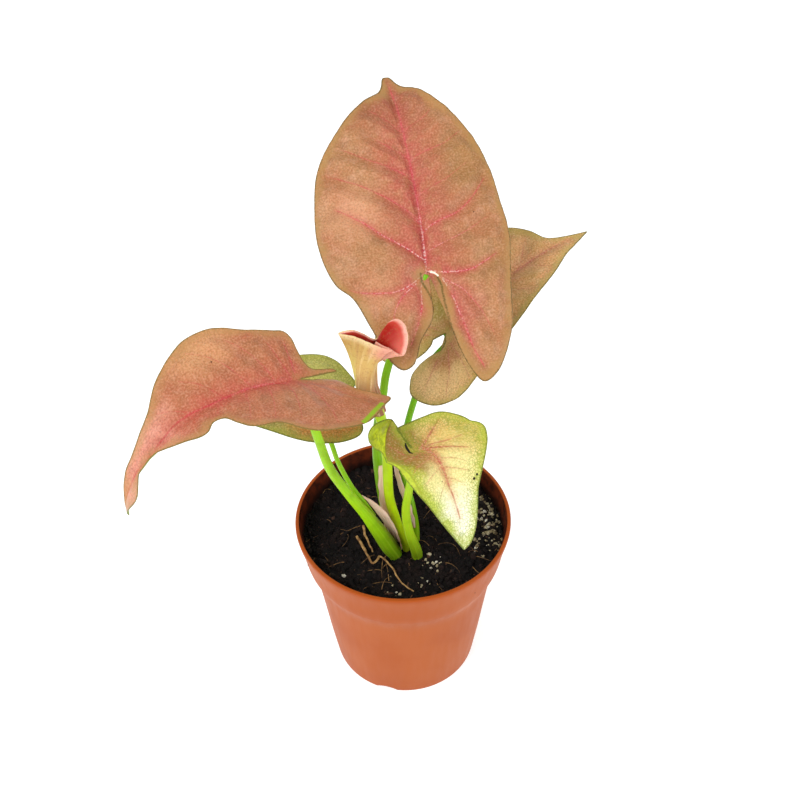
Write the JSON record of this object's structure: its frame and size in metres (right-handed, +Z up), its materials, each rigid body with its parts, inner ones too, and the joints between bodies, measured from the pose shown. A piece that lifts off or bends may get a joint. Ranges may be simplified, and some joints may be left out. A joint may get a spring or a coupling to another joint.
{
  "type": "potted syngonium",
  "caption": "Small arrowhead plant with broad pink and tan leaves, one leaf still rolled, on thin green stalks in a terracotta-coloured plastic nursery pot of dark soil.",
  "frame": {"origin": "centre of the pot's flat underside", "axes": "+Z up along the pot's axis, -Y the side seen from the front, +X to the viewer's right"},
  "size_m": [0.14, 0.134, 0.1964],
  "materials": {
    "pot_plastic": "satin moulded terracotta-coloured plastic",
    "soil": "loose dark peat potting mix",
    "crown": "living green stem stub",
    "blade_top": "satin living leaf",
    "blade_right": "satin living leaf",
    "blade_left": "satin living leaf",
    "blade_lower": "satin living leaf",
    "blade_front": "satin living leaf",
    "blade_rolled": "satin young rolled leaf",
    "stalk_top": "smooth living leaf stalk",
    "stalk_right": "smooth living leaf stalk",
    "stalk_left": "smooth living leaf stalk",
    "stalk_lower": "smooth living leaf stalk",
    "stalk_front": "smooth living leaf stalk",
    "stalk_rolled": "smooth living leaf stalk",
    "sheath": "dry papery membrane",
    "root": "dry fibrous root"
  },
  "bodies": {
    "root": {"pot": "pot_plastic", "soil": "soil", "crown": "crown", "leaf_top": "blade_top", "leaf_right": "blade_right", "leaf_left": "blade_left", "leaf_lower": "blade_lower", "leaf_front": "blade_front", "leaf_rolled": "blade_rolled", "petiole_top": "stalk_top", "petiole_right": "stalk_right", "petiole_left": "stalk_left", "petiole_lower": "stalk_lower", "petiole_front": "stalk_front", "petiole_rolled": "stalk_rolled", "sheath_left": "sheath", "sheath_top": "sheath", "sheath_right": "sheath", "root_long": "root", "root_short": "root"}
  },
  "joints": []
}
